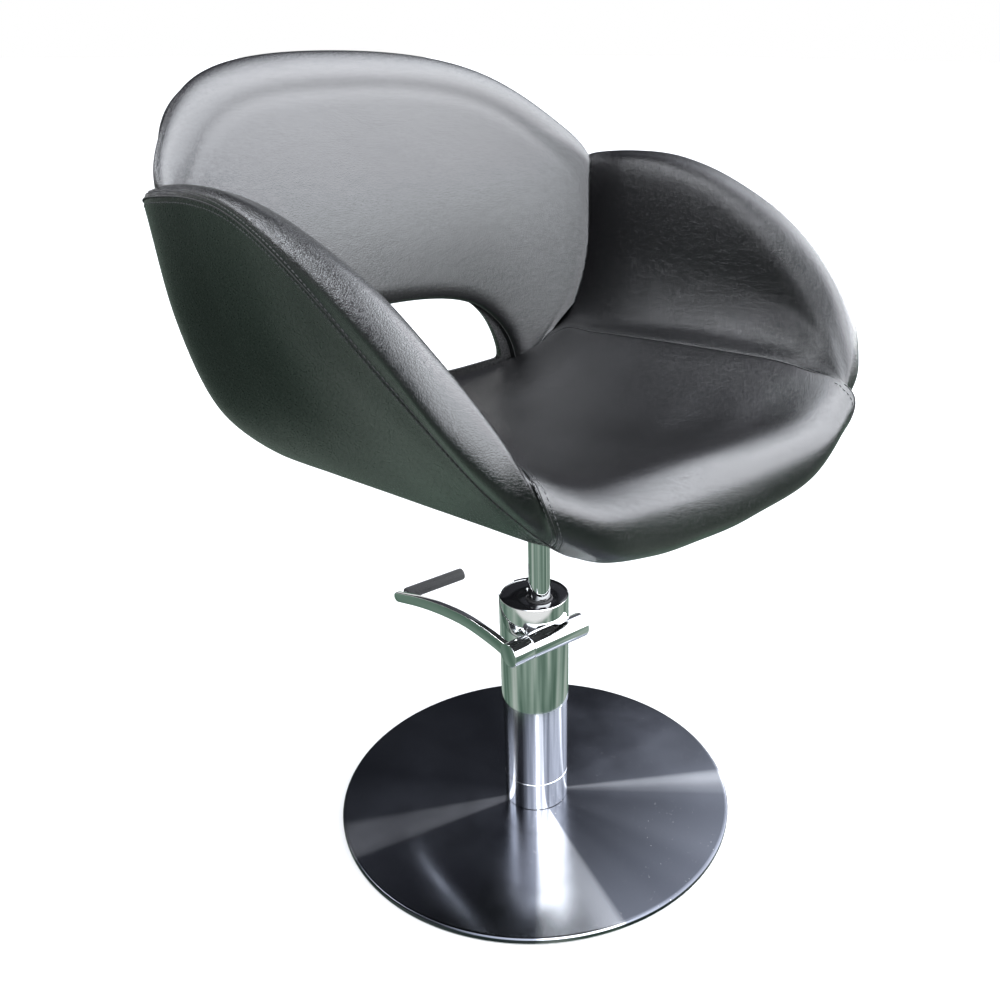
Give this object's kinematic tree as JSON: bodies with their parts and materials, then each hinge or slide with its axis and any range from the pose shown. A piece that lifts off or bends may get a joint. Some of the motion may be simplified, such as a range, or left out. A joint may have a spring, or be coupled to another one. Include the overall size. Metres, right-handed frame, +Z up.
{
  "type": "styling chair",
  "caption": "Hydraulic salon styling chair: padded bucket seat with wraparound arms and open lower back on a foot-pumped column and round steel base.",
  "frame": {"origin": "centre of the round base, on the floor", "axes": "+Z up, -Y the way the sitter faces, +X towards the sitter's left"},
  "size_m": [0.6396, 0.713, 0.955],
  "materials": {
    "black_leatherette": "semi-gloss grained",
    "chrome": "mirror",
    "brushed_stainless": "turned and brushed",
    "black_rubber": "matte",
    "gloss_black": "gloss",
    "cast_iron": "as cast",
    "plywood": "raw",
    "zinc_steel": "zinc plated",
    "black_steel": "satin black paint"
  },
  "bodies": {
    "base": {"base_edge_ring": "black_rubber", "base_weight_plate": "cast_iron", "base_cover": "brushed_stainless", "pump_flange": "zinc_steel", "flange_bolt_1": "zinc_steel", "flange_bolt_2": "zinc_steel", "flange_bolt_3": "zinc_steel", "flange_bolt_4": "zinc_steel", "column_foot_ring": "brushed_stainless", "column_tube": "brushed_stainless", "upper_sleeve": "chrome", "pump_cap": "gloss_black", "rod_gland": "black_rubber", "vent_screw": "chrome", "pump_cylinder": "zinc_steel", "pump_barrel": "zinc_steel", "pedal_tube": "chrome"},
    "rod": {"piston_rod": "chrome"},
    "seat": {"seat_socket": "zinc_steel", "seat_mount_plate": "black_steel", "plate_bolt_1": "zinc_steel", "plate_bolt_2": "zinc_steel", "plate_bolt_3": "zinc_steel", "plate_bolt_4": "zinc_steel", "underside_cover": "black_rubber", "seat_board": "plywood", "seat_cushion": "black_leatherette", "side_frame_left": "plywood", "side_frame_right": "plywood", "arm_pad_left": "black_leatherette", "arm_pad_right": "black_leatherette", "side_panel_left": "black_leatherette", "side_panel_right": "black_leatherette", "back_board": "plywood", "back_pad": "black_leatherette", "back_cover": "black_leatherette"},
    "pedal": {"pedal_shaft": "zinc_steel", "pedal_hub": "chrome", "pedal_lever": "chrome", "foot_bar": "zinc_steel", "foot_grip": "black_rubber"},
    "plunger_rod": {"plunger": "zinc_steel"}
  },
  "joints": [
    {"name": "lift", "type": "slide", "parent": "base", "child": "rod", "axis": [0, 0, 1], "range_m": [-0.1, 0.04]},
    {"name": "swivel", "type": "hinge", "parent": "rod", "child": "seat", "pos_m": [0, -0.012, 0.5], "axis": [0, 0, 1], "continuous": true},
    {"name": "pedal_pivot", "type": "hinge", "parent": "base", "child": "pedal", "pos_m": [0, -0.052, 0.3], "axis": [1, 0, 0], "range_deg": [-25, 0], "stiffness_Nm_per_rad": 5, "springref_deg": 20.05},
    {"name": "plunger_slide", "type": "slide", "parent": "base", "child": "plunger_rod", "axis": [0, 0, 1], "range_m": [-0.0068, 0]}
  ],
  "couplings": [
    {"joint": "plunger_slide", "follows": "pedal_pivot", "m_per_rad": 0.015}
  ]
}
